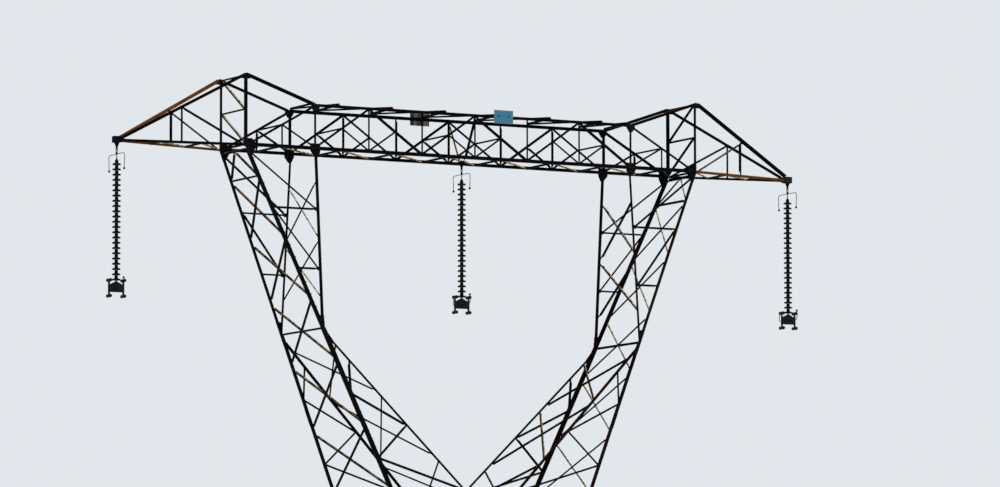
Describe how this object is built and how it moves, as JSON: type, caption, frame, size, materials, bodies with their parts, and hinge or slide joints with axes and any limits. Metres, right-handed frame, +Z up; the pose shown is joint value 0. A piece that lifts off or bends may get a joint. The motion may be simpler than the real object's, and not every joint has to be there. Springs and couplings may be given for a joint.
{
  "type": "electricity pylon",
  "caption": "Steel lattice transmission tower with a level bridge on two cranked forks and hanging insulator strings for bundled conductors.",
  "frame": {"origin": "on the ground, midway between the four feet", "axes": "+X along the bridge, +Y along the line away from the pictured front, +Z up"},
  "size_m": [25.9579, 7.8268, 28.1806],
  "materials": {
    "tower_steel": "matte",
    "gusset_steel": "matte",
    "plate_paint": "satin",
    "concrete": "matte",
    "porcelain": "gloss",
    "cap_iron": "matte",
    "fitting_steel": "satin"
  },
  "bodies": {
    "tower": {"arm_tip_left": "tower_steel", "arm_tip_right": "tower_steel", "arm_webs_left": "tower_steel", "arm_webs_right": "tower_steel", "belt_diamond": "tower_steel", "body_bracing_front": "tower_steel", "body_bracing_left": "tower_steel", "body_bracing_rear": "tower_steel", "body_bracing_right": "tower_steel", "body_legs": "tower_steel", "bridge_bottom_chords": "tower_steel", "bridge_bottom_lacing": "tower_steel", "bridge_gussets": "gusset_steel", "bridge_mid_struts": "tower_steel", "bridge_top_chords": "tower_steel", "bridge_top_lacing": "tower_steel", "bridge_web_front": "tower_steel", "bridge_web_rear": "tower_steel", "centre_hanger": "tower_steel", "footings": "concrete", "fork_chords_left": "tower_steel", "fork_chords_right": "tower_steel", "fork_gussets": "gusset_steel", "fork_inner_lacing_left": "tower_steel", "fork_inner_lacing_right": "tower_steel", "fork_outer_lacing_left": "tower_steel", "fork_outer_lacing_right": "tower_steel", "fork_webs_left": "tower_steel", "fork_webs_right": "tower_steel", "number_plates": "plate_paint", "peak_frame_left": "tower_steel", "peak_frame_right": "tower_steel", "waist_frame": "tower_steel"},
    "link_left": {"hanger_link_left": "fitting_steel"},
    "string_left": {"string_caps_left": "cap_iron", "string_discs_left": "porcelain", "arcing_horns_left": "fitting_steel", "yoke_plate_left": "fitting_steel", "suspension_clamps_left": "fitting_steel"},
    "link_middle": {"hanger_link_middle": "fitting_steel"},
    "string_middle": {"string_caps_middle": "cap_iron", "string_discs_middle": "porcelain", "arcing_horns_middle": "fitting_steel", "yoke_plate_middle": "fitting_steel", "suspension_clamps_middle": "fitting_steel"},
    "link_right": {"hanger_link_right": "fitting_steel"},
    "string_right": {"string_caps_right": "cap_iron", "string_discs_right": "porcelain", "arcing_horns_right": "fitting_steel", "yoke_plate_right": "fitting_steel", "suspension_clamps_right": "fitting_steel"}
  },
  "joints": [
    {"name": "swing_across_left", "type": "hinge", "parent": "tower", "child": "link_left", "pos_m": [-12.675, 0, 25.595], "axis": [0, 1, 0], "range_deg": [-45, 45]},
    {"name": "swing_along_left", "type": "hinge", "parent": "link_left", "child": "string_left", "pos_m": [-12.675, 0, 25.428], "axis": [1, 0, 0], "range_deg": [-30, 30]},
    {"name": "swing_across_middle", "type": "hinge", "parent": "tower", "child": "link_middle", "pos_m": [0, 0, 25.595], "axis": [0, 1, 0], "range_deg": [-45, 45]},
    {"name": "swing_along_middle", "type": "hinge", "parent": "link_middle", "child": "string_middle", "pos_m": [0, 0, 25.428], "axis": [1, 0, 0], "range_deg": [-30, 30]},
    {"name": "swing_across_right", "type": "hinge", "parent": "tower", "child": "link_right", "pos_m": [12.675, 0, 25.595], "axis": [0, 1, 0], "range_deg": [-45, 45]},
    {"name": "swing_along_right", "type": "hinge", "parent": "link_right", "child": "string_right", "pos_m": [12.675, 0, 25.428], "axis": [1, 0, 0], "range_deg": [-30, 30]}
  ]
}
